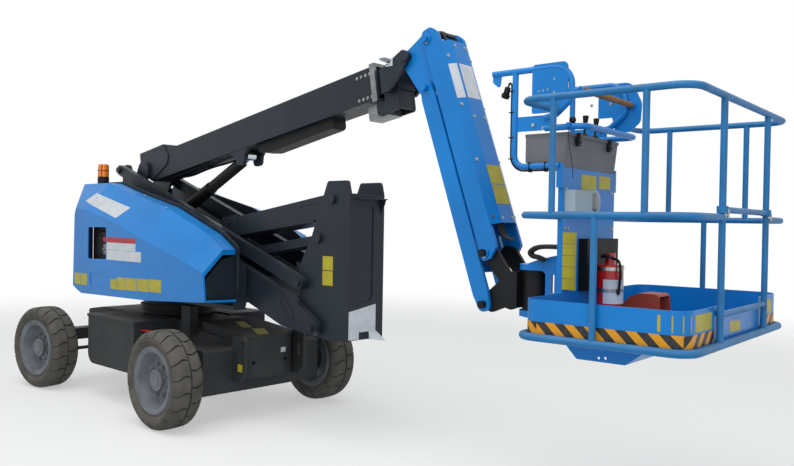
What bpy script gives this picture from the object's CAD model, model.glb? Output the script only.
import bpy
import bmesh
import math
from mathutils import Matrix, Vector
from mathutils.bvhtree import BVHTree


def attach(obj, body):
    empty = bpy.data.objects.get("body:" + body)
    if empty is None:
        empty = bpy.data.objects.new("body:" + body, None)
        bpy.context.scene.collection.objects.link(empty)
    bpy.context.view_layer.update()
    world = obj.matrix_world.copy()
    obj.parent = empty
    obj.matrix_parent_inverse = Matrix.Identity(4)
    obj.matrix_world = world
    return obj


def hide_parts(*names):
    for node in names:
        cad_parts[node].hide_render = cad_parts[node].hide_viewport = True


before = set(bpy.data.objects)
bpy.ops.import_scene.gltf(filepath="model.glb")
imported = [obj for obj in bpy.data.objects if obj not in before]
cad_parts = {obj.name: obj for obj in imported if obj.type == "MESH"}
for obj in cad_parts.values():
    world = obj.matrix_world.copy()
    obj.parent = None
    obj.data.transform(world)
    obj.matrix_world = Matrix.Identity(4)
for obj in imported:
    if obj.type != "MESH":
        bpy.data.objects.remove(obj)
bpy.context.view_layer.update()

# camera
view = {"place": (6.012, -3.741, 1.502), "yaw": 132.58, "pitch": -0.66, "roll": 1.0, "lens": 35.325}
yaw, pitch, roll = (math.radians(view[k]) for k in ("yaw", "pitch", "roll"))
ahead = Vector((math.cos(yaw) * math.cos(pitch), math.sin(yaw) * math.cos(pitch), math.sin(pitch)))
level = Vector((math.sin(yaw), -math.cos(yaw), 0))
above = level.cross(ahead)
right = level * math.cos(roll) + above * math.sin(roll)
upward = above * math.cos(roll) - level * math.sin(roll)
cameraData = bpy.data.cameras.new("viewCamera")
cameraData.lens = view["lens"]
cameraData.sensor_width = 36
camera = bpy.data.objects.new("viewCamera", cameraData)
bpy.context.collection.objects.link(camera)
camera.matrix_world = Matrix((
    (right.x, upward.x, -ahead.x, view["place"][0]),
    (right.y, upward.y, -ahead.y, view["place"][1]),
    (right.z, upward.z, -ahead.z, view["place"][2]),
    (0, 0, 0, 1),
))
bpy.context.scene.camera = camera
bpy.context.scene.view_settings.view_transform = "Standard"
print("camera set")

# places, in the object's own millimetres
lay = {
    "platformX": 4353.984, "platformTurn": 3.1, "platformRise": 0.0355,
    "boomPin": (-403.0, 1957.0), "boomRise": 9.5, "nose": (3202.6, 64.3),
    "jibStep": (168.9, 81.0), "jibRise": -70.25,
    "liftPin": (-450, 1352), "liftRise": 24.98,
}


def drawnAlong(pin, rise):
    # the place of what is drawn along X from a pin, in metres
    return Matrix.Translation((pin[0] / 1000, 0, pin[1] / 1000)) @ Matrix.Rotation(math.radians(-rise), 4, "Y")


boomTurn = math.radians(lay["boomRise"])
reach, lift = lay["nose"]
nosePin = Vector((
    lay["boomPin"][0] + reach * math.cos(boomTurn) - lift * math.sin(boomTurn), 0,
    lay["boomPin"][1] + reach * math.sin(boomTurn) + lift * math.cos(boomTurn),
))
onBoom = drawnAlong(lay["boomPin"], lay["boomRise"])
onJib = drawnAlong((nosePin.x + lay["jibStep"][0], nosePin.z + lay["jibStep"][1]), lay["jibRise"])
onLift = drawnAlong(lay["liftPin"], lay["liftRise"])
onPlatform = Matrix.Translation((lay["platformX"] / 1000, 0, lay["platformRise"] / 1000)) @ Matrix.Rotation(
    math.radians(lay["platformTurn"]), 4, "Z")
onGround = Matrix.Identity(4)


def at(place, x, y, z):
    # a point given in millimetres on a place, as a world point in metres
    return place @ Vector((x / 1000, y / 1000, z / 1000))


# the thin cord that hangs from the guard beside the control box
hangCord = {
    "points": [
        (-340, -338, 1994), (-340, -338, 1950), (-333, -339, 1898),
        (-322, -338, 1846), (-314, -340, 1794), (-311, -338, 1742),
    ],
    "diameter": 0.004,
}
cordCurve = bpy.data.curves.new("pullCord", "CURVE")
cordCurve.dimensions = "3D"
cordCurve.resolution_u = 12
cordCurve.bevel_depth = 1.0  # the points' own radius sets the thickness
cordCurve.bevel_resolution = 3
cordCurve.use_fill_caps = True
spline = cordCurve.splines.new("NURBS")
spline.points.add(len(hangCord["points"]) - 1)
for point, where in zip(spline.points, hangCord["points"]):
    point.co = (*at(onPlatform, *where), 1)
    point.radius = hangCord["diameter"] / 2
spline.order_u = 3
spline.use_endpoint_u = True
pullCord = bpy.data.objects.new("pullCord", cordCurve)
bpy.context.collection.objects.link(pullCord)
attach(pullCord, "platform")
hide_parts("hang_cord")
print("camera and cord made")


# small tools
def srgb(text):
    # hex colour to the linear values that a shader socket takes
    values = [int(text[i:i + 2], 16) / 255 for i in (1, 3, 5)]
    return [v / 12.92 if v <= 0.04045 else ((v + 0.055) / 1.055) ** 2.4 for v in values] + [1.0]


def addNode(tree, kind, settings=None, values=None, links=None):
    node = tree.nodes.new(kind)
    for name, value in (settings or {}).items():
        setattr(node, name, value)
    for name, value in (values or {}).items():
        node.inputs[name].default_value = value
    for name, source in (links or {}).items():
        tree.links.new(source, node.inputs[name])
    return node


def ramp(tree, source, stops):
    # stops are position and linear colour, or position and one number
    node = addNode(tree, "ShaderNodeValToRGB", links={"Fac": source})
    for index, (place, colour) in enumerate(stops):
        if index < 2:
            stop = node.color_ramp.elements[index]
            stop.position = place
        else:
            stop = node.color_ramp.elements.new(place)
        stop.color = colour if isinstance(colour, (list, tuple)) else (colour, colour, colour, 1)
    return node.outputs["Color"]


def mixed(tree, factor, low, high):
    node = tree.nodes.new("ShaderNodeMix")
    node.data_type = "RGBA"
    for socket, value in ((node.inputs[0], factor), (node.inputs[6], low), (node.inputs[7], high)):
        if isinstance(value, bpy.types.NodeSocket):
            tree.links.new(value, socket)
        else:
            socket.default_value = value
    return node.outputs[2]


def noise(tree, where, millimetres, detail=3.0, roughness=0.5):
    # features about this many millimetres across
    node = addNode(
        tree, "ShaderNodeTexNoise",
        values={"Scale": 1000.0 / millimetres, "Detail": detail, "Roughness": roughness},
        links={"Vector": where},
    )
    return node.outputs["Fac"]


def finish(name, spec):
    # one paint, metal, rubber or plastic, from its values
    material = bpy.data.materials.new(name)
    material.use_nodes = True
    tree = material.node_tree
    shader = tree.nodes["Principled BSDF"]
    where = tree.nodes.new("ShaderNodeTexCoord").outputs["Object"]
    base = srgb(spec["colour"])
    cloud = noise(tree, where, spec.get("cloudMm", 400), 4)
    colour = mixed(tree, ramp(tree, cloud, [(0.35, 0.0), (0.65, 1.0)]), base, srgb(spec.get("cloud", spec["colour"])))
    if "dust" in spec:
        # dust settles on what faces up, in patches
        normal = tree.nodes.new("ShaderNodeNewGeometry").outputs["Normal"]
        upward = addNode(tree, "ShaderNodeSeparateXYZ", links={"Vector": normal}).outputs["Z"]
        patch = noise(tree, where, spec.get("dustMm", 120), 6, 0.65)
        lift = addNode(
            tree, "ShaderNodeMath", {"operation": "MULTIPLY_ADD"},
            {1: spec.get("dustUp", 0.5), 2: spec.get("dustAll", 0.1)},
            {0: upward},
        ).outputs[0]
        amount = addNode(
            tree, "ShaderNodeMath", {"operation": "MULTIPLY", "use_clamp": True}, links={0: lift, 1: patch}).outputs[0]
        colour = mixed(tree, amount, colour, srgb(spec["dust"]))
    if "chips" in spec:
        # small knocks through the paint
        spots = noise(tree, where, spec.get("chipMm", 14), 5, 0.7)
        gate = noise(tree, where, 260, 2)
        both = addNode(tree, "ShaderNodeMath", {"operation": "MULTIPLY"}, links={0: spots, 1: gate}).outputs[0]
        edge = spec.get("chipShare", 0.40)
        colour = mixed(tree, ramp(tree, both, [(edge, 0.0), (edge + 0.015, 1.0)]), colour, srgb(spec["chips"]))
    tree.links.new(colour, shader.inputs["Base Color"])
    rough = noise(tree, where, spec.get("roughMm", 90), 4)
    span = spec.get("roughSpan", 0.08)
    roughness = addNode(
        tree, "ShaderNodeMapRange", links={"Value": rough},
        values={"To Min": spec["rough"] - span, "To Max": spec["rough"] + span},
    ).outputs["Result"]
    tree.links.new(roughness, shader.inputs["Roughness"])
    grain = noise(tree, where, spec.get("grainMm", 3), 3)
    bump = addNode(
        tree, "ShaderNodeBump", links={"Height": grain},
        values={"Strength": spec.get("bump", 0.08), "Distance": 0.001},
    )
    tree.links.new(bump.outputs["Normal"], shader.inputs["Normal"])
    shader.inputs["Specular IOR Level"].default_value = spec.get("specular", 0.3)
    shader.inputs["Metallic"].default_value = spec.get("metal", 0.0)
    shader.inputs["Coat Weight"].default_value = spec.get("coat", 0.0)
    shader.inputs["Coat Roughness"].default_value = spec.get("coatRough", 0.15)
    return material


# what each finish is, by the way it was made
finishes = {
    # polyester powder coat, a bright machine blue: soft gloss with faint orange peel
    "bluePowderCoat": {
        "colour": "#007ac8", "cloud": "#0070ba", "rough": 0.38, "coat": 0.08, "dust": "#5690b4", "dustUp": 0.18,
        "dustAll": 0.03},
    # the same coat on rails that hands and boots wear: duller and knocked
    "wornBluePowderCoat": {
        "colour": "#15669b", "cloud": "#1873b0", "cloudMm": 160, "rough": 0.5, "dust": "#74838a", "dustUp": 0.4,
        "dustAll": 0.12, "chips": "#4b443c", "chipShare": 0.42},
    # slate grey chassis enamel, sprayed: semi gloss
    "slateEnamel": {
        "colour": "#1d2630", "cloud": "#182029", "rough": 0.42, "specular": 0.25, "dust": "#5b5a58",
        "dustUp": 0.22, "dustAll": 0.04},
    # the same enamel low down, under road dust
    "dustySlateEnamel": {
        "colour": "#24292e", "cloud": "#2c2f31", "cloudMm": 220, "rough": 0.6, "specular": 0.2,
        "dust": "#6b665e", "dustUp": 0.5, "dustAll": 0.16},
    # cured rubber of a solid tyre: matt, with dried mud
    "tyreRubber": {
        "colour": "#302f2d", "cloud": "#4a4844", "cloudMm": 90, "rough": 0.85, "specular": 0.2,
        "dust": "#858077", "dustUp": 0.2, "dustAll": 0.5, "bump": 0.3, "grainMm": 4},
    # painted pressed steel wheel, silver grey, with brake dust
    "wheelEnamel": {
        "colour": "#747b82", "cloud": "#62686e", "cloudMm": 120, "rough": 0.5, "dust": "#45433f", "dustUp": 0.2,
        "dustAll": 0.45},
    # black electrocoat on castings and brackets
    "blackElectrocoat": {
        "colour": "#0c0e10", "cloud": "#131517", "rough": 0.5, "specular": 0.2, "dust": "#4b4843",
        "dustUp": 0.12, "dustAll": 0.03},
    # hard chrome on a piston rod
    "hardChrome": {"colour": "#c9ccd0", "rough": 0.12, "roughSpan": 0.04, "metal": 1.0, "bump": 0.0},
    # grey moulded ABS of the control box
    "greyAbs": {"colour": "#6c6e72", "cloud": "#62646a", "rough": 0.55, "bump": 0.15, "grainMm": 1.5},
    # black moulded nylon and rubber of grips, cases and caps
    "blackNylon": {"colour": "#101113", "specular": 0.2, "rough": 0.55, "bump": 0.2, "grainMm": 2},
    # amber polycarbonate lens
    "amberPolycarbonate": {"colour": "#f07a10", "rough": 0.2, "coat": 0.5, "bump": 0.0},
    # terracotta red moulded guard
    "redAbs": {
        "colour": "#a23c2b", "cloud": "#8f3527", "rough": 0.55, "dust": "#8a7568", "dustUp": 0.3,
        "dustAll": 0.1},
    # aluminium casting left bare, dull silver
    "castSilver": {
        "colour": "#8d9194", "cloud": "#6f7376", "cloudMm": 60, "rough": 0.38, "metal": 0.85, "dust": "#6f6b64",
        "dustUp": 0.1, "dustAll": 0.15},
    # bright zinc plate on bolts and clips
    "zincPlate": {"colour": "#b9bcbb", "cloud": "#93938e", "cloudMm": 20, "rough": 0.3, "metal": 1.0, "bump": 0.0},
    # light grey moulded ABS of the socket box
    "lightGreyAbs": {"colour": "#9fb0b8", "cloud": "#93a4ac", "rough": 0.5, "bump": 0.08, "grainMm": 1.5},
    # smoked clear lid over the socket
    "smokedLid": {"colour": "#3a4650", "rough": 0.12, "coat": 0.6, "bump": 0.0},
    # extruded black hose rubber, satin
    "blackHoseRubber": {
        "colour": "#0d0e0f", "specular": 0.25, "cloud": "#151617", "cloudMm": 40, "rough": 0.45, "bump": 0.1,
        "grainMm": 2, "dust": "#55524d", "dustUp": 0.2, "dustAll": 0.05},
    # brown foam grip, worn to tan
    "tanFoam": {"colour": "#8d6a45", "cloud": "#6f5236", "cloudMm": 30, "rough": 0.8, "bump": 0.2, "grainMm": 2},
    # printed vinyl with no print: safety yellow, white and red
    "yellowVinyl": {
        "colour": "#b3a820", "cloud": "#a69b1b", "cloudMm": 60, "rough": 0.4, "bump": 0.02, "dust": "#8a8677",
        "dustUp": 0.1, "dustAll": 0.1},
    "whiteVinyl": {
        "colour": "#ced3d8", "cloud": "#c2c8ce", "cloudMm": 60, "rough": 0.4, "bump": 0.02, "dust": "#8a8677",
        "dustUp": 0.1, "dustAll": 0.1},
    "redVinyl": {"colour": "#b02a2c", "cloud": "#a02427", "cloudMm": 60, "rough": 0.4, "bump": 0.02},
    # fire red enamel on a steel bottle
    "redEnamel": {"colour": "#b3161f", "rough": 0.25, "coat": 0.6, "bump": 0.02},
}
paint = {name: finish(name, spec) for name, spec in finishes.items()}

# reflective vinyl tape in diagonal yellow and black: the U of its own map counts the stripes
tape = bpy.data.materials.new("hazardVinyl")
tape.use_nodes = True
tree = tape.node_tree
placeNode = tree.nodes.new("ShaderNodeTexCoord")
along = addNode(tree, "ShaderNodeSeparateXYZ", links={"Vector": placeNode.outputs["UV"]}).outputs["X"]
share = addNode(tree, "ShaderNodeMath", {"operation": "FRACT"}, links={0: along}).outputs[0]
black = addNode(tree, "ShaderNodeMath", {"operation": "GREATER_THAN"}, {1: 0.5}, {0: share}).outputs[0]
wear = ramp(tree, noise(tree, placeNode.outputs["Object"], 30, 5, 0.7), [(0.55, 0.0), (0.72, 0.6)])
striped = mixed(tree, black, srgb("#d99300"), srgb("#17181a"))
tree.links.new(mixed(tree, wear, striped, srgb("#5d5340")), tree.nodes["Principled BSDF"].inputs["Base Color"])
tree.nodes["Principled BSDF"].inputs["Roughness"].default_value = 0.42
paint["hazardVinyl"] = tape

nodeFinish = {
    "bluePowderCoat": [
        "cover_left", "cover_right", "jib_base", "jib_arm", "jib_cover", "jib_link", "platform_tray", "platform_mount",
        "column", "console_guards",
    ],
    "wornBluePowderCoat": ["platform_rails", "gate_bar"],
    "slateEnamel": [
        "turntable_frame", "counterweight", "lower_arm", "lower_link_left", "lower_link_right", "upright", "upper_arm",
        "upper_link", "boom_support", "main_boom", "fly_boom",
    ],
    "dustySlateEnamel": [
        "chassis_frame", "battery_box_left", "battery_box_right", "end_hood", "drive_axle", "steer_axle",
        "knuckle_left", "knuckle_right", "tie_rod",
    ],
    "tyreRubber": ["tyre_drive_left", "tyre_drive_right", "tyre_steer_left", "tyre_steer_right"],
    "wheelEnamel": ["rim_drive_left", "rim_drive_right", "rim_steer_left", "rim_steer_right"],
    "blackElectrocoat": [
        "slew_ring", "platform_support", "hose_carrier", "lift_cylinder_barrel", "riser_cylinder_barrel",
        "jib_cylinder_barrel", "control_unit",
    ],
    "hardChrome": ["lift_cylinder_rod", "riser_cylinder_rod", "jib_cylinder_rod"],
    "greyAbs": ["control_box"],
    "blackNylon": ["beacon_base", "document_case"],
    "castSilver": ["boom_collar"],
    "lightGreyAbs": ["outlet_box"],
    "blackHoseRubber": ["guard_cable", "hang_cord"],
    "amberPolycarbonate": ["beacon_lens"],
    "redAbs": ["foot_switch"],
    "redEnamel": ["extinguisher"],
}
for finishName, nodeNames in nodeFinish.items():
    for nodeName in nodeNames:
        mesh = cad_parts[nodeName].data
        mesh.materials.clear()
        mesh.materials.append(paint[finishName])
bare = set(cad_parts) - {n for names in nodeFinish.values() for n in names}
print("finishes on CAD pieces; without one:", sorted(bare))
pullCord.data.materials.append(paint["blackHoseRubber"])


# how pieces are made
def keep(name, form, body, finishName, smoothBelow=38):
    # a bmesh in world metres becomes a finished piece that rides on a body
    bmesh.ops.remove_doubles(form, verts=form.verts, dist=1e-6)
    mesh = bpy.data.meshes.new(name)
    form.to_mesh(mesh)
    form.free()
    mesh.materials.append(paint[finishName])
    for face in mesh.polygons:
        face.use_smooth = True
    mesh.set_sharp_from_angle(angle=math.radians(smoothBelow))
    piece = bpy.data.objects.new(name, mesh)
    bpy.context.collection.objects.link(piece)
    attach(piece, body)
    return piece


def addBlock(form, place, low, high, soft=1.5):
    # a block between two corners in millimetres, its edges rounded by soft
    size = [(h - l) / 1000 for l, h in zip(low, high)]
    middle = [(h + l) / 2 for l, h in zip(low, high)]
    matrix = place @ Matrix.Translation([m / 1000 for m in middle]) @ Matrix.Diagonal((*size, 1))
    made = bmesh.ops.create_cube(form, size=1, matrix=matrix)["verts"]
    if soft:
        edges = list({e for v in made for e in v.link_edges})
        bmesh.ops.bevel(form, geom=edges, offset=soft / 1000, segments=2, affect="EDGES", profile=0.5)


def addDrum(form, place, start, end, radius, endRadius=None, sides=24, soft=0.0):
    # a round bar or cone between two points in millimetres
    a, b = at(place, *start), at(place, *end)
    span = b - a
    turn = span.to_track_quat("Z", "Y").to_matrix().to_4x4()
    matrix = Matrix.Translation((a + b) / 2) @ turn
    far = radius if endRadius is None else endRadius
    made = bmesh.ops.create_cone(
        form, cap_ends=True, segments=sides, radius1=radius / 1000, radius2=far / 1000,
        depth=span.length, matrix=matrix)["verts"]
    if soft:
        rims = [e for e in {e for v in made for e in v.link_edges} if any(len(f.verts) > 4 for f in e.link_faces)]
        bmesh.ops.bevel(form, geom=rims, offset=soft / 1000, segments=2, affect="EDGES", profile=0.5)


def addTube(form, place, points, radius, sides=12, steps=8):
    # a hose through its points, with closed ends
    knots = [at(place, *p) for p in points]
    line = []
    for i in range(len(knots) - 1):
        p0, p1, p2, p3 = knots[max(i - 1, 0)], knots[i], knots[i + 1], knots[min(i + 2, len(knots) - 1)]
        for k in range(steps if len(knots) > 2 else 1):
            t = k / (steps if len(knots) > 2 else 1)
            line.append(0.5 * (
                2 * p1 + (p2 - p0) * t + (2 * p0 - 5 * p1 + 4 * p2 - p3) * t * t
                + (3 * p1 - p0 - 3 * p2 + p3) * t ** 3))
    line.append(knots[-1])
    rings = []
    across = (line[1] - line[0]).orthogonal().normalized()
    for i, here in enumerate(line):
        heading = (line[min(i + 1, len(line) - 1)] - line[max(i - 1, 0)]).normalized()
        across = (across - heading * across.dot(heading)).normalized()
        side = heading.cross(across)
        rings.append([
            form.verts.new(here + (across * math.cos(a) + side * math.sin(a)) * radius / 1000)
            for a in (2 * math.pi * k / sides for k in range(sides))])
    for one, two in zip(rings, rings[1:]):
        for k in range(sides):
            form.faces.new((one[k], one[(k + 1) % sides], two[(k + 1) % sides], two[k]))
    form.faces.new(rings[0][::-1])
    form.faces.new(rings[-1])


surfaces = {}


def surfaceOf(nodeName):
    # the node's surface for laying labels on
    if nodeName not in surfaces:
        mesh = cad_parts[nodeName].data
        mesh.calc_loop_triangles()
        surfaces[nodeName] = BVHTree.FromPolygons(
            [v.co.copy() for v in mesh.vertices], [tuple(t.vertices) for t in mesh.loop_triangles])
    return surfaces[nodeName]


def label(name, body, nodeName, corners, inward, finishName, cells=(8, 4), proud=0.0007):
    # a thin vinyl label laid on a surface; corners run round as seen from outside, from the upper left
    inward = Vector(inward).normalized()
    ul, ur, lr, ll = (Vector(c) for c in corners)
    form = bmesh.new()
    grid = []
    for j in range(cells[1] + 1):
        row = []
        for i in range(cells[0] + 1):
            s, t = i / cells[0], j / cells[1]
            flat = (ul * (1 - s) + ur * s) * (1 - t) + (ll * (1 - s) + lr * s) * t
            hit = surfaceOf(nodeName).ray_cast(flat - inward * 0.25, inward, 0.6)[0]
            row.append((hit or flat) - inward * proud)
        grid.append([form.verts.new(p) for p in row])
    for j in range(cells[1]):
        for i in range(cells[0]):
            form.faces.new((grid[j][i], grid[j + 1][i], grid[j + 1][i + 1], grid[j][i + 1]))
    form.normal_update()
    if sum((f.normal for f in form.faces), Vector()).dot(inward) > 0:
        bmesh.ops.reverse_faces(form, faces=form.faces)
    rim = [e for e in form.edges if e.is_boundary]
    skirt = bmesh.ops.extrude_edge_only(form, edges=rim)["geom"]
    for vertex in (g for g in skirt if isinstance(g, bmesh.types.BMVert)):
        vertex.co += inward * (proud + 0.0008)
    return keep(name, form, body, finishName)


# tyres: a carcass with deep tread blocks, repeated round the wheel
tyre = {
    "radius": 356, "half": 121, "shoulder": 318, "rimEdge": 246, "grooveDepth": 15, "blocks": 19, "groove": 15, "wave": 15,
    "axleX": 1000, "track": 1474, "kingPin": 610, "steerTrim": 7.3, "nutCircle": 112, "nuts": 9,
}


def wheelPlace(which, side):
    steered = which == "steer"
    pivot = side * tyre["kingPin"] if steered else 0
    turn = math.radians(tyre["steerTrim"]) if steered else 0
    return (
        Matrix.Translation(((-1 if steered else 1) * tyre["axleX"] / 1000, pivot / 1000, 0)) @ Matrix.Rotation(turn, 4, "Z")
        @ Matrix.Translation((0, (side * tyre["track"] / 2 - pivot) / 1000, tyre["radius"] / 1000))
        @ Matrix.Rotation(math.radians(-90 * side), 4, "X"))


def treadHeight(across):
    # the tyre's outer radius at this many millimetres from its middle
    a = abs(across)
    if a < 74:
        return tyre["radius"] - 3 * (a / 74) ** 2
    return tyre["radius"] - 3 - 44 * ((a - 74) / 46) ** 2.1


def treadBlock(form, side, shift):
    # one block from the middle groove out over the shoulder, its edges waved
    pitch = 2 * math.pi / tyre["blocks"]
    gap = tyre["groove"] / tyre["radius"]
    reach = [7, 30, 52, 74, 90, 104, 114, 119.5]
    top, base = [], []
    for a in reach:
        bend = tyre["wave"] / tyre["radius"] * math.sin(a / 119.5 * 5.2) * side
        ring, low = [], []
        for k in range(5):
            turn = shift + bend + (k / 4 - 0.5) * (pitch - gap * (1.0 if a > 20 else 0.75))
            r = treadHeight(a)
            ring.append(form.verts.new((r / 1000 * math.cos(turn), r / 1000 * math.sin(turn), side * a / 1000)))
            deep = r - tyre["grooveDepth"] - 4
            wide = shift + bend + (k / 4 - 0.5) * (pitch - gap * 0.7)
            inset = side * (a - (5 if a > 110 else 0))
            low.append(form.verts.new((deep / 1000 * math.cos(wide), deep / 1000 * math.sin(wide), inset / 1000)))
        top.append(ring)
        base.append(low)
    made = []
    for one, two in zip(range(len(reach) - 1), range(1, len(reach))):
        for k in range(4):
            made.append(form.faces.new((top[one][k], top[one][k + 1], top[two][k + 1], top[two][k])))
        for k in (0, 4):
            made.append(form.faces.new((top[one][k], top[two][k], base[two][k], base[one][k])))
    for row in (0, len(reach) - 1):
        for k in range(4):
            made.append(form.faces.new((top[row][k], top[row][k + 1], base[row][k + 1], base[row][k])))
    return made


def repeatTree(name):
    # turns its own mesh round Z, count times
    tree = bpy.data.node_groups.new(name, "GeometryNodeTree")
    tree.interface.new_socket(name="Block", in_out="INPUT", socket_type="NodeSocketGeometry")
    count = tree.interface.new_socket(name="Count", in_out="INPUT", socket_type="NodeSocketInt")
    look = tree.interface.new_socket(name="Finish", in_out="INPUT", socket_type="NodeSocketMaterial")
    tree.interface.new_socket(name="Geometry", in_out="OUTPUT", socket_type="NodeSocketGeometry")
    start = tree.nodes.new("NodeGroupInput")
    end = tree.nodes.new("NodeGroupOutput")
    dots = addNode(tree, "GeometryNodePoints", links={"Count": start.outputs["Count"]})
    index = tree.nodes.new("GeometryNodeInputIndex").outputs[0]
    part = addNode(
        tree, "ShaderNodeMath", {"operation": "DIVIDE"}, links={0: index, 1: start.outputs["Count"]}).outputs[0]
    angle = addNode(tree, "ShaderNodeMath", {"operation": "MULTIPLY"}, {1: 2 * math.pi}, {0: part}).outputs[0]
    turn = addNode(tree, "ShaderNodeCombineXYZ", links={"Z": angle}).outputs[0]
    spin = addNode(tree, "FunctionNodeEulerToRotation", links={0: turn}).outputs[0]
    placed = addNode(tree, "GeometryNodeInstanceOnPoints", links={
        "Points": dots.outputs[0], "Instance": start.outputs["Block"], "Rotation": spin}).outputs[0]
    real = addNode(tree, "GeometryNodeRealizeInstances", links={0: placed}).outputs[0]
    painted = addNode(
        tree, "GeometryNodeSetMaterial", links={"Geometry": real, "Material": start.outputs["Finish"]}).outputs[0]
    tree.links.new(painted, end.inputs[0])
    return tree, count.identifier, look.identifier


def bakeNodes(piece):
    # the evaluated result becomes the piece's own plain mesh
    bpy.context.view_layer.update()
    ready = piece.evaluated_get(bpy.context.evaluated_depsgraph_get())
    mesh = bpy.data.meshes.new_from_object(ready)
    piece.modifiers.clear()
    piece.data = mesh
    return mesh


treadNodes, treadCount, treadLook = repeatTree("treadRoundWheel")
form = bmesh.new()
treadBlock(form, 1, 0.0)
treadBlock(form, -1, math.pi / tyre["blocks"])
bmesh.ops.recalc_face_normals(form, faces=form.faces)
blockMesh = bpy.data.meshes.new("treadBlock")
form.to_mesh(blockMesh)
form.free()
blockPiece = bpy.data.objects.new("treadBlock", blockMesh)
bpy.context.collection.objects.link(blockPiece)
modifier = blockPiece.modifiers.new("repeat", "NODES")
modifier.node_group = treadNodes
modifier[treadCount] = tyre["blocks"]
modifier[treadLook] = paint["tyreRubber"]
treadMesh = bakeNodes(blockPiece)
bpy.data.objects.remove(blockPiece)


def tyreForm():
    # the carcass, spun, with the blocks joined on
    form = bmesh.new()
    section = [(246, -97), (262, -103), (280, -117), (294, -120.5), (303, -119)]
    for a in (-117, -108, -96, -82, -64, -40, 0, 40, 64, 82, 96, 108, 117):
        section.append((treadHeight(a) - tyre["grooveDepth"], a))
    section += [(303, 119), (294, 120.5), (280, 117), (262, 103), (246, 97)]
    turns = 114
    rings = []
    for k in range(turns):
        t = 2 * math.pi * k / turns
        rings.append([form.verts.new((r / 1000 * math.cos(t), r / 1000 * math.sin(t), a / 1000)) for r, a in section])
    for k in range(turns):
        one, two = rings[k], rings[(k + 1) % turns]
        for i in range(len(section)):
            j = (i + 1) % len(section)
            form.faces.new((one[i], two[i], two[j], one[j]))
    bmesh.ops.recalc_face_normals(form, faces=form.faces)
    form.from_mesh(treadMesh)
    return form


for which in ("drive", "steer"):
    for side, word in ((-1, "right"), (1, "left")):
        form = tyreForm()
        form.transform(wheelPlace(which, side))
        piece = keep(f"treadedTyre_{which}_{word}", form, f"wheel_{which}_{word}", "tyreRubber", 32)
        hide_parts(f"tyre_{which}_{word}")
        form = bmesh.new()
        place = wheelPlace(which, side)
        addDrum(form, place, (0, 0, 74), (0, 0, 84), 52, 46, 32, 2)
        for k in range(tyre["nuts"]):
            t = 2 * math.pi * (k + 0.5) / tyre["nuts"]
            x, y = tyre["nutCircle"] * math.cos(t), tyre["nutCircle"] * math.sin(t)
            addDrum(form, place, (x, y, 30), (x, y, 38), 17, None, 16, 1)
            addDrum(form, place, (x, y, 37), (x, y, 54), 13.5, None, 6, 1.2)
            addDrum(form, place, (x, y, 52), (x, y, 64), 8, None, 12, 1)
        keep(f"wheelNuts_{which}_{word}", form, f"wheel_{which}_{word}", "wheelEnamel")
print("tyres with tread blocks and wheel nuts made")

# hazard tape round the platform's toe board
tapeSizes = {"low": 1016, "high": 1070, "stripe": 95, "corner": 80, "halfX": 380, "halfY": 688, "post": 345}


def tapeStrip(name, points, slant):
    # a strip of tape that follows points and outward directions; slant leans its stripes
    form = bmesh.new()
    uv = form.loops.layers.uv.new("map")
    travel = 0.0
    columns = []
    for i, (x, y, nx, ny) in enumerate(points):
        if i:
            travel += math.hypot(x - points[i - 1][0], y - points[i - 1][1])
        low = form.verts.new(at(onPlatform, x + nx * 0.8, y + ny * 0.8, tapeSizes["low"]))
        high = form.verts.new(at(onPlatform, x + nx * 0.8, y + ny * 0.8, tapeSizes["high"]))
        columns.append((low, high, travel))
    for one, two in zip(columns, columns[1:]):
        face = form.faces.new((one[0], two[0], two[1], one[1]))
        for loop, (where, lift) in zip(face.loops, ((one[2], 0), (two[2], 0), (two[2], 1), (one[2], 1))):
            rise = lift * (tapeSizes["high"] - tapeSizes["low"]) * slant
            loop[uv].uv = ((where + rise) / tapeSizes["stripe"] + 20, lift)
    form.normal_update()
    mesh = bpy.data.meshes.new(name)
    form.to_mesh(mesh)
    form.free()
    mesh.materials.append(paint["hazardVinyl"])
    piece = bpy.data.objects.new(name, mesh)
    bpy.context.collection.objects.link(piece)
    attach(piece, "platform")
    return piece


hx, hy, bend = tapeSizes["halfX"], tapeSizes["halfY"], tapeSizes["corner"]


def arc(cx, cy, start, end):
    return [
        (cx + bend * math.cos(t), cy + bend * math.sin(t), math.cos(t), math.sin(t))
        for t in (math.radians(start + (end - start) * k / 8) for k in range(9))]


def straight(x0, y0, x1, y1, nx, ny):
    return [(x0 + (x1 - x0) * k / 6, y0 + (y1 - y0) * k / 6, nx, ny) for k in range(7)]


tapeStrip("toeTapeRight", straight(-hx + bend, -hy, hx - bend, -hy, 0, -1) + arc(hx - bend, -hy + bend, -90, -45)[1:], 1)
gatePost = tapeSizes["post"] + 18
tapeStrip(
    "toeTapeGateRight", arc(hx - bend, -hy + bend, -45, 0) + straight(hx, -hy + bend, hx, -gatePost, 1, 0)[1:], -1)
tapeStrip("toeTapeGateLeft", straight(hx, gatePost, hx, hy - bend, 1, 0) + arc(hx - bend, hy - bend, 0, 45)[1:], -1)
tapeStrip("toeTapeLeft", arc(hx - bend, hy - bend, 45, 90) + straight(hx - bend, hy, -hx + bend, hy, 0, 1)[1:], 1)
tapeStrip("toeTapeRearRight", arc(-hx + bend, -hy + bend, 180, 270), 1)
print("hazard tape laid")

# blank labels
right, front, down = (0, 1, 0), (-1, 0, 0), (0, 0, -1)


def sideLabel(name, body, node, y, x0, x1, z0, z1, finishName):
    label(name, body, node, [(x0, y, z1), (x1, y, z1), (x1, y, z0), (x0, y, z0)], right, finishName)


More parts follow.
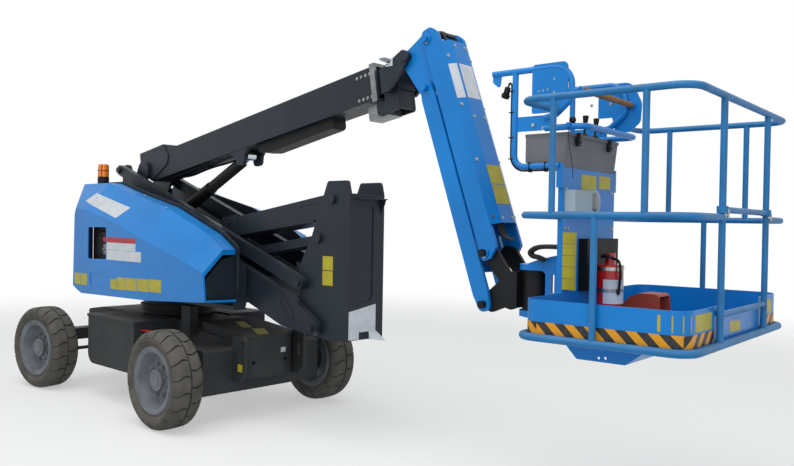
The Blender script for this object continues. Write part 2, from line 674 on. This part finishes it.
slantCorners = [(-0.493, -0.6, 1.727), (0.095, -0.6, 1.597), (-0.010, -0.6, 1.511), (-0.598, -0.6, 1.657)]
label("coverStrip", "cover_right", "cover_right", slantCorners, right, "whiteVinyl", (16, 6))
sideLabel("coverPlateRed", "cover_right", "cover_right", -0.62, -0.112, 0.356, 1.310, 1.352, "redVinyl")
sideLabel("coverPlateUpper", "cover_right", "cover_right", -0.62, -0.112, 0.356, 1.250, 1.309, "whiteVinyl")
sideLabel("coverPlateLower", "cover_right", "cover_right", -0.62, -0.108, 0.443, 1.167, 1.248, "whiteVinyl")
for number, (x0, x1, z0, z1) in enumerate([
    (-0.680, -0.572, 0.931, 1.029), (-0.564, -0.447, 0.931, 1.029), (-0.038, 0.060, 0.931, 1.012),
    (0.066, 0.212, 0.933, 1.032), (0.218, 0.372, 0.937, 1.036), (0.383, 0.560, 0.944, 1.040), (0.566, 0.745, 0.950, 1.046),
]):
    sideLabel(f"coverYellow{number}", "cover_right", "cover_right", -0.62, x0, x1, z0, z1, "yellowVinyl")
panelCorners = [(2.4, -0.160, 0.912), (2.4, 0.094, 0.953), (2.4, 0.095, 0.713), (2.4, -0.160, 0.725)]
label("uprightPanel", "upright", "upright", panelCorners, front, "whiteVinyl")
for number, (low, high) in enumerate([(1.076, 1.174), (1.180, 1.275)]):
    corners = [(2.042, -0.2, high), (2.143, -0.2, high), (2.146, -0.2, low), (2.042, -0.2, low)]
    label(f"uprightYellow{number}", "upright", "upright", corners, right, "yellowVinyl")
for name, corners in (
    ("hoodYellowA", [(0.85, 0.063, 0.7), (1.06, -0.01, 0.7), (1.03, -0.085, 0.7), (0.84, -0.01, 0.7)]),
    ("hoodYellowB", [(1.12, 0.06, 0.7), (1.30, -0.03, 0.7), (1.28, -0.12, 0.7), (1.10, -0.045, 0.7)]),
):
    label(name, "chassis", "end_hood", corners, down, "yellowVinyl")
plateCorners = [(1.5, 0.094, 0.532), (1.5, 0.156, 0.530), (1.5, 0.156, 0.493), (1.5, 0.094, 0.494)]
label("hoodPlate", "chassis", "end_hood", plateCorners, front, "whiteVinyl")
sideLabel("lugYellow", "chassis", "chassis_frame", -0.292, 1.267, 1.323, 0.390, 0.446, "yellowVinyl")
sideLabel("forkPlate", "fly_boom", "fly_boom", -0.2, 2.577, 2.637, 2.502, 2.546, "whiteVinyl")


def platformLabel(name, node, corners, inward, finishName):
    turned = onPlatform.to_3x3() @ Vector(inward)
    label(name, "platform", node, [at(onPlatform, *c) for c in corners], turned, finishName)


def columnLabel(name, y0, y1, z0, z1, finishName="yellowVinyl"):
    platformLabel(name, "column", [(-300, y0, z1), (-300, y1, z1), (-300, y1, z0), (-300, y0, z0)], front, finishName)


columnLabel("columnYellowA", -106, 70, 1689, 1776)
columnLabel("columnYellowB", 101, 243, 1710, 1780)
for row in range(5):
    columnLabel(f"columnTall{row}", -333, -266, 1190 + row * 57.5, 1245 + row * 57.5)
    columnLabel(f"columnTallB{row}", -263, -195, 1190 + row * 57.5, 1245 + row * 57.5)
for name, corners, inward in (
    ("trayYellowRight", [(352, -760, 1150), (430, -430, 1150), (430, -430, 1077), (352, -760, 1081)], (-0.8, 0.6, 0)),
    ("trayYellowLeft", [(430, 409, 1149), (430, 568, 1142), (430, 566, 1075), (430, 412, 1076)], front),
    ("gateYellow", [(430, -140, 1088), (430, 20, 1080), (430, 18, 1030), (430, -140, 1038)], front),
):
    platformLabel(name, "platform_tray", corners, inward, "yellowVinyl")


def jibLabel(name, x0, x1, y0, y1, finishName):
    turned = onJib.to_3x3() @ Vector((0, 0, -1))
    corners = [at(onJib, x0, y0, 170), at(onJib, x0, y1, 170), at(onJib, x1, y1, 170), at(onJib, x1, y0, 170)]
    label(name, "jib_arm", "jib_cover", corners, turned, finishName)


jibLabel("jibPanel", 215, 438, -125, 66, "whiteVinyl")
jibLabel("jibYellowA", 868, 986, -66, 66, "yellowVinyl")
jibLabel("jibYellowB", 991, 1110, -66, 66, "yellowVinyl")
print("blank labels laid")

# bolts and screws: one Geometry Nodes tree, one mesh for each body
bolt = {"radius": 7.5, "height": 6.0}


def boltTree():
    tree = bpy.data.node_groups.new("boltsOnPoints", "GeometryNodeTree")
    tree.interface.new_socket(name="Places", in_out="INPUT", socket_type="NodeSocketGeometry")
    radius = tree.interface.new_socket(name="Head radius", in_out="INPUT", socket_type="NodeSocketFloat")
    height = tree.interface.new_socket(name="Head height", in_out="INPUT", socket_type="NodeSocketFloat")
    look = tree.interface.new_socket(name="Finish", in_out="INPUT", socket_type="NodeSocketMaterial")
    tree.interface.new_socket(name="Geometry", in_out="OUTPUT", socket_type="NodeSocketGeometry")
    start = tree.nodes.new("NodeGroupInput")
    end = tree.nodes.new("NodeGroupOutput")
    wide = addNode(
        tree, "ShaderNodeMath", {"operation": "MULTIPLY"}, {1: 1.45}, {0: start.outputs["Head radius"]}).outputs[0]
    thin = addNode(
        tree, "ShaderNodeMath", {"operation": "MULTIPLY"}, {1: 0.3}, {0: start.outputs["Head height"]}).outputs[0]
    narrow = addNode(
        tree, "ShaderNodeMath", {"operation": "MULTIPLY"}, {1: 0.82}, {0: start.outputs["Head radius"]}).outputs[0]
    washer = addNode(tree, "GeometryNodeMeshCone", values={"Vertices": 16}, links={
        "Radius Top": wide, "Radius Bottom": wide, "Depth": thin}).outputs[0]
    head = addNode(tree, "GeometryNodeMeshCone", values={"Vertices": 6}, links={
        "Radius Top": narrow, "Radius Bottom": start.outputs["Head radius"],
        "Depth": start.outputs["Head height"]}).outputs[0]
    both = tree.nodes.new("GeometryNodeJoinGeometry")
    tree.links.new(washer, both.inputs[0])
    tree.links.new(head, both.inputs[0])
    facing = addNode(
        tree, "GeometryNodeInputNamedAttribute", {"data_type": "FLOAT_VECTOR"}, {"Name": "facing"}).outputs[0]
    turn = addNode(tree, "FunctionNodeAlignRotationToVector", {"axis": "Z"}, links={"Vector": facing}).outputs[0]
    placed = addNode(tree, "GeometryNodeInstanceOnPoints", links={
        "Points": start.outputs["Places"], "Instance": both.outputs[0], "Rotation": turn}).outputs[0]
    real = addNode(tree, "GeometryNodeRealizeInstances", links={0: placed}).outputs[0]
    painted = addNode(
        tree, "GeometryNodeSetMaterial", links={"Geometry": real, "Material": start.outputs["Finish"]}).outputs[0]
    tree.links.new(painted, end.inputs[0])
    return tree, radius.identifier, height.identifier, look.identifier


boltNodes, boltRadius, boltHeight, boltLook = boltTree()


def bolts(name, body, spots, finishName="zincPlate", radius=None):
    # spots are a place, a point in millimetres and the way it faces on that place
    mesh = bpy.data.meshes.new(name)
    mesh.from_pydata([at(place, *where) for place, where, way in spots], [], [])
    facing = mesh.attributes.new("facing", "FLOAT_VECTOR", "POINT")
    for item, (place, where, way) in zip(facing.data, spots):
        item.vector = (place.to_3x3() @ Vector(way)).normalized()
    piece = bpy.data.objects.new(name, mesh)
    bpy.context.collection.objects.link(piece)
    modifier = piece.modifiers.new("bolts", "NODES")
    modifier.node_group = boltNodes
    modifier[boltRadius] = (radius or bolt["radius"]) / 1000
    modifier[boltHeight] = bolt["height"] / 1000
    modifier[boltLook] = paint[finishName]
    bakeNodes(piece)
    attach(piece, body)


bolts("jibCoverBolts", "jib_arm", [(onJib, (x, y, 128), (0, 0, 1)) for x in (95, 560, 1195) for y in (-50, 50)]
      + [(onJib, (x, s * 112, 106), (0, s * 0.45, 0.9)) for x in (160, 480, 830, 1180) for s in (-1, 1)])
bolts("boomBolts", "main_boom", [
    (onBoom, (x, s * 100, z), (0, s, 0)) for x in (2731, 2771, 2811, 2850) for z in (58, -95) for s in (-1, 1)])
bolts("columnBolts", "platform",
      [(onPlatform, (-380, y, 1495), (1, 0, 0)) for y in (-283, -250, 250, 283)]
      + [(onPlatform, (-380, y, 1692), (1, 0, 0)) for y in (-270, 262)]
      + [(onPlatform, (x, -329, z), (0, -1, 0)) for x, z in (
          (-543, 2017), (-425, 2239), (-511, 2185), (-486, 2187), (-461, 2190), (-424, 2173), (-485, 1999))]
      + [(onPlatform, (x, 329, z), (0, -1, 0)) for x, z in ((-540, 2020), (-425, 2200), (-540, 2200))], radius=6.5)
bolts("coverBolts", "cover_right", [
    (onGround, where, (0, -0.5, 1)) for where in ((209, -462, 1700), (550, -470, 1600))], "zincPlate", 5)
bolts("lugBolts", "chassis", [(onGround, (1330, s * 292, 604), (0, s, 0)) for s in (-1, 1)], "blackElectrocoat", 7)
jibEnds = (0, 1364)  # the pins at both ends of the jib arm
form = bmesh.new()
for x in jibEnds:
    for s in (-1, 1):
        addDrum(form, onJib, (x, s * 135, 0), (x, s * 143, 0), 34, 32, 28, 1.5)
keep("jibPinsRings", form, "jib_arm", "bluePowderCoat")
bolts(
    "jibPinsBolts", "jib_arm", [(onJib, (x + 24, s * 143, 0), (0, s, 0)) for x in jibEnds for s in (-1, 1)], radius=6)
print("bolts placed")

# fittings on the platform
form = bmesh.new()
for y in (-198, 173):  # over-centre latches of the control box
    addBlock(form, onPlatform, (-364, y - 17, 1912), (-350, y + 17, 1955), 3)
    addBlock(form, onPlatform, (-360, y - 12, 1950), (-345, y + 12, 1980), 3)
    addDrum(form, onPlatform, (-350, y - 18, 1932), (-350, y + 18, 1932), 7, None, 16, 1)
for y in (190, 60):  # joysticks with their boots
    addDrum(form, onPlatform, (-450, y, 1974), (-450, y, 1996), 30, 22, 24, 3)
    addDrum(form, onPlatform, (-450, y, 1996), (-450, y, 2012), 18, 8, 24, 2)
    addDrum(form, onPlatform, (-450, y, 2010), (-448, y + 4, 2070), 6, None, 16)
    addDrum(form, onPlatform, (-448, y + 4, 2062), (-446, y + 6, 2104), 12, 17, 24, 5)
for y in (-40, -90, -140):
    addDrum(form, onPlatform, (-440, y, 1974), (-440, y, 1992), 9, 7, 16, 1)
addDrum(form, onPlatform, (-338, -300, 2014), (-338, -300, 2032), 12, 18, 24, 3)  # knob on the hoop
addDrum(form, onPlatform, (-338, -300, 2030), (-338, -300, 2046), 18, 14, 24, 4)
keep("consoleKnobs", form, "platform", "blackNylon")
form = bmesh.new()
addDrum(form, onPlatform, (-292, -300, 2178), (-292, 302, 2178), 15.5, None, 28, 1.5)
keep("gripSleeve", form, "platform", "tanFoam")
form = bmesh.new()  # socket lamp that hangs from the guard's rear end
addDrum(form, onPlatform, (-700, -320, 2226), (-712, -318, 2190), 15, 17, 24, 3)
addDrum(form, onPlatform, (-712, -318, 2190), (-722, -316, 2170), 24, 20, 24, 3)
addTube(form, onPlatform, [(-700, -320, 2222), (-690, -320, 2245), (-679, -320, 2238), (-676.3, -320, 2228)], 5)
keep("guardSocket", form, "platform", "blackNylon")
form = bmesh.new()  # cable ties
for x, z in ((-676.3, 2200), (-676.3, 2090), (-676.3, 1960), (-676.3, 1850)):
    addBlock(form, onPlatform, (x - 7, -338, z - 2.5), (x + 26, -302, z + 2.5), 1)
for x in (-560, -470):
    addBlock(form, onPlatform, (x - 2.5, -338, 1778), (x + 2.5, -302, 1828), 1)
keep("cableTies", form, "platform", "blackHoseRubber")
form = bmesh.new()  # clear dark lid of the socket
addDrum(form, onPlatform, (-334, -36, 1634), (-331.5, -36, 1634), 52, 48, 40, 1)
keep("socketLid", form, "platform", "smokedLid")
form = bmesh.new()  # catches that hold the gate bar
for y in (-345, 345):
    addBlock(form, onPlatform, (412, y - 20, 1560), (420, y + 34, 1570), 2)
    addDrum(form, onPlatform, (418, y + 20, 1552), (418, y + 20, 1590), 6, None, 12, 1)
keep("gateCatches", form, "platform", "zincPlate")

# the fire extinguisher
bottle = {
    "x": -261.4, "y": 3, "radius": 68, "labelProud": 0.7, "labelLow": 1112, "labelHigh": 1236, "labelTurn": (-95, 20),
    "strapHeights": (1180, 1290),
}


def roundBottle(form, radius, turn, height):
    x, y = bottle["x"] + radius * math.cos(turn), bottle["y"] + radius * math.sin(turn)
    return form.verts.new(at(onPlatform, x, y, height))


form = bmesh.new()
steps = 14
first, last = bottle["labelTurn"]
turns = [math.radians(first + (last - first) * k / steps) for k in range(steps + 1)]
rows = [
    [roundBottle(form, bottle["radius"] + bottle["labelProud"], t, z) for t in turns]
    for z in (bottle["labelLow"], bottle["labelHigh"])]
for k in range(steps):
    form.faces.new((rows[0][k], rows[0][k + 1], rows[1][k + 1], rows[1][k]))
keep("bottleLabel", form, "platform", "whiteVinyl")
form = bmesh.new()
addDrum(form, onPlatform, (bottle["x"], bottle["y"], 1366), (bottle["x"], bottle["y"], 1372), 22, None, 24, 1)
addBlock(form, onPlatform, (-290, -58, 1345), (-236, -18, 1356), 3)
addBlock(form, onPlatform, (-282, -72, 1358), (-250, -16, 1367), 3)
addTube(form, onPlatform, [
    (-240, -20, 1345), (-196, -40, 1330), (-184, -46, 1270), (-190, -44, 1200), (-196, -40, 1160)], 7)
addBlock(form, onPlatform, (-334, -70, 1280), (-318, 76, 1300), 2)
keep("bottleValve", form, "platform", "blackNylon")
form = bmesh.new()
for z in bottle["strapHeights"]:
    rings = []
    for k in range(40):
        t = 2 * math.pi * k / 40
        section = ((68.3, z - 9), (70.5, z - 9), (70.5, z + 9), (68.3, z + 9))
        rings.append([roundBottle(form, r, t, h) for r, h in section])
    for k in range(40):
        one, two = rings[k], rings[(k + 1) % 40]
        for i in range(4):
            form.faces.new((one[i], two[i], two[(i + 1) % 4], one[(i + 1) % 4]))
bmesh.ops.recalc_face_normals(form, faces=form.faces)
keep("bottleStraps", form, "platform", "zincPlate")
print("platform fittings made")

# beacon guard: four bent wires and a ring
beacon = {"x": -600, "y": -412, "low": 1872, "high": 1984, "reach": 46, "wire": 2.2, "ringHeight": 1930}
form = bmesh.new()


def roundBeacon(reach, turn, height):
    return beacon["x"] + reach * math.cos(turn), beacon["y"] + reach * math.sin(turn), height


for k in range(4):
    t = math.radians(45 + 90 * k)
    addTube(form, onGround, [
        roundBeacon(beacon["reach"], t, beacon["low"]), roundBeacon(beacon["reach"], t, beacon["high"] - 30),
        roundBeacon(beacon["reach"] - 8, t, beacon["high"] - 4), roundBeacon(0, t, beacon["high"] - 1.5),
    ], beacon["wire"], 8, 6)
ring = [roundBeacon(beacon["reach"], 2 * math.pi * k / 20, beacon["ringHeight"]) for k in range(21)]
addTube(form, onGround, ring, beacon["wire"], 8, 2)
keep("beaconGuard", form, "cover_right", "blackElectrocoat")

# hoses
form = bmesh.new()
for s in (-1, 1):
    route = ((330, -128), (480, -142), (760, -134), (1060, -144), (1300, -134))
    addTube(form, onBoom, [(x, s * 58, z) for x, z in route], 8)
keep("boomHoses", form, "main_boom", "blackHoseRubber")
form = bmesh.new()
for y in (-60, -34, -8, 18, 58):  # the bunch over the jib's top pin, with room for the cylinder to swing up
    tail = [(3006, y, 2612), (3018, y, 2560)] if abs(y) > 50 else [(2993, y, 2650)]
    addTube(form, onGround, [
        (2800, y, 2600), (2838, y, 2648), (2880, y * 0.9, 2674), (2940, y * 0.85, 2680), (2980, y * 0.9, 2664),
    ] + tail, 10.5)
addTube(form, onGround, [(2850, -44, 2660), (2905, -46, 2678), (2962, -42, 2676), (2992, -34, 2654)], 12)
keep("jibTopHoses", form, "jib_base", "blackHoseRubber")
form = bmesh.new()  # the wrinkled sleeve over the lift cylinder's rod
for k in range(15):
    x = 1030 + 30 * k
    addDrum(form, onLift, (x, 0, 0), (x + 16, 0, 0), 41, 46, 28)
    addDrum(form, onLift, (x + 16, 0, 0), (x + 30, 0, 0), 46, 41, 28)
keep("rodSleeve", form, "lift_rod", "blackHoseRubber", 60)
form = bmesh.new()
for y in (-62, -40, -18):
    addTube(form, onJib, [(1190, y, 100), (1250, y, 92), (1300, y * 0.9, 104), (1330, y * 0.8, 140)], 8)
keep("jibLowHoses", form, "jib_arm", "blackHoseRubber")
form = bmesh.new()  # the bundle that loops behind the platform's column
for lift in (0, 17):
    addTube(form, onPlatform, [
        (-430, -120 + lift, 1392), (-538, -120 + lift, 1396), (-620, -120 + lift, 1390), (-664, -120 + lift, 1366),
        (-655, -118 + lift, 1344), (-619, -112 + lift, 1335), (-590, -100 + lift, 1320)], 13)
keep("columnHoses", form, "platform", "blackHoseRubber")
print("hoses laid")

# inside the cover's window: the ground controls
form = bmesh.new()
for x in (-400, -350, -300, -250, -200):
    addDrum(form, onGround, (x, -560, 1398), (x, -570, 1398), 11, None, 20, 1.5)
    addDrum(form, onGround, (x, -569, 1398), (x - 4, -590, 1406), 4, 5.5, 12, 1)
addBlock(form, onGround, (-420, -566, 1190), (-300, -559, 1350), 3)
keep("groundSwitches", form, "turntable", "blackNylon")
form = bmesh.new()
addDrum(form, onGround, (-220, -560, 1330), (-220, -572, 1330), 18, None, 24, 1)
addDrum(form, onGround, (-220, -571, 1330), (-220, -590, 1330), 20, 22, 28, 4)
keep("groundStop", form, "turntable", "redVinyl")
form = bmesh.new()
addBlock(form, onGround, (-290, -567, 1200), (-170, -559, 1290), 3)
for x in (-272, -230, -188):
    addDrum(form, onGround, (x, -566, 1245), (x, -574, 1245), 12, None, 20, 1.5)
keep("groundGauge", form, "turntable", "castSilver")
form = bmesh.new()  # cover latch in its hand-hold
addBlock(form, onGround, (-352, -600, 986), (-120, -588, 1012), 6)
addBlock(form, onGround, (-330, -606, 992), (-190, -598, 1006), 4)
keep("coverLatch", form, "cover_right", "blackNylon")
form = bmesh.new()  # red pull tab of the battery box
addBlock(form, onGround, (354, -585, 626), (498, -520, 633), 2)
keep("boxTab", form, "chassis", "redVinyl")
print("ground controls made")

# stage and light
studio = {
    "floorColour": "#e9e9e6", "floorRadius": 14.0, "fadeFrom": 5.0, "fadeTo": 12.0,
    "skyStrength": 0.62, "floorShare": 0.45,
    "keyPlace": (2.5, -3.0, 7.5), "keyAim": (1.2, 0, 1.0), "keySize": 7.0, "keyEnergy": 360.0,
    "fillPlace": (8.0, -5.0, 4.0), "fillAim": (1.5, 0, 1.2), "fillSize": 5.0, "fillEnergy": 120.0,
}
bpy.ops.mesh.primitive_circle_add(
    vertices=96, radius=studio["floorRadius"], fill_type="NGON", location=(1.5, 0, -0.001))
floor = bpy.context.object
floor.name = "studioFloor"
floorPaint = bpy.data.materials.new("paleFloor")
floorPaint.use_nodes = True
tree = floorPaint.node_tree
tree.nodes.clear()
place = tree.nodes.new("ShaderNodeTexCoord").outputs["Object"]
away = addNode(tree, "ShaderNodeVectorMath", {"operation": "LENGTH"}, links={0: place}).outputs["Value"]
fade = addNode(
    tree, "ShaderNodeMapRange", {"interpolation_type": "SMOOTHSTEP"},
    {"From Min": studio["fadeFrom"], "From Max": studio["fadeTo"], "To Min": studio["floorShare"]}, {"Value": away},
).outputs["Result"]
solid = addNode(tree, "ShaderNodeBsdfDiffuse", values={"Color": srgb(studio["floorColour"])}).outputs[0]
gone = tree.nodes.new("ShaderNodeBsdfTransparent").outputs[0]
blend = addNode(tree, "ShaderNodeMixShader", links={0: fade, 1: solid, 2: gone}).outputs[0]
addNode(tree, "ShaderNodeOutputMaterial", links={"Surface": blend})
floor.data.materials.append(floorPaint)

# the camera, glass and shine see a white backdrop; the sky's own light falls on everything else
world = bpy.data.worlds.new("studioSky")
bpy.context.scene.world = world
world.use_nodes = True
tree = world.node_tree
tree.nodes.clear()
path = tree.nodes.new("ShaderNodeLightPath")
seen = path.outputs["Is Camera Ray"]
for ray in ("Is Transmission Ray", "Is Glossy Ray"):
    seen = addNode(tree, "ShaderNodeMath", {"operation": "MAXIMUM"}, links={0: seen, 1: path.outputs[ray]}).outputs[0]
lamp = addNode(
    tree, "ShaderNodeBackground", values={"Color": srgb("#eef2f7"), "Strength": studio["skyStrength"]}).outputs[0]
white = addNode(tree, "ShaderNodeBackground", values={"Color": (1, 1, 1, 1), "Strength": 1.0}).outputs[0]
blend = addNode(tree, "ShaderNodeMixShader", links={0: seen, 1: lamp, 2: white}).outputs[0]
addNode(tree, "ShaderNodeOutputWorld", links={"Surface": blend})


def softLamp(name, place, aim, size, energy):
    light = bpy.data.lights.new(name, "AREA")
    light.size = size
    light.energy = energy
    piece = bpy.data.objects.new(name, light)
    bpy.context.collection.objects.link(piece)
    piece.location = place
    piece.rotation_euler = (Vector(aim) - Vector(place)).to_track_quat("-Z", "Y").to_euler()


for word in ("key", "fill"):
    softLamp(
        word + "Sky", studio[word + "Place"], studio[word + "Aim"], studio[word + "Size"], studio[word + "Energy"])
print("stage and light set")

bpy.context.view_layer.update()
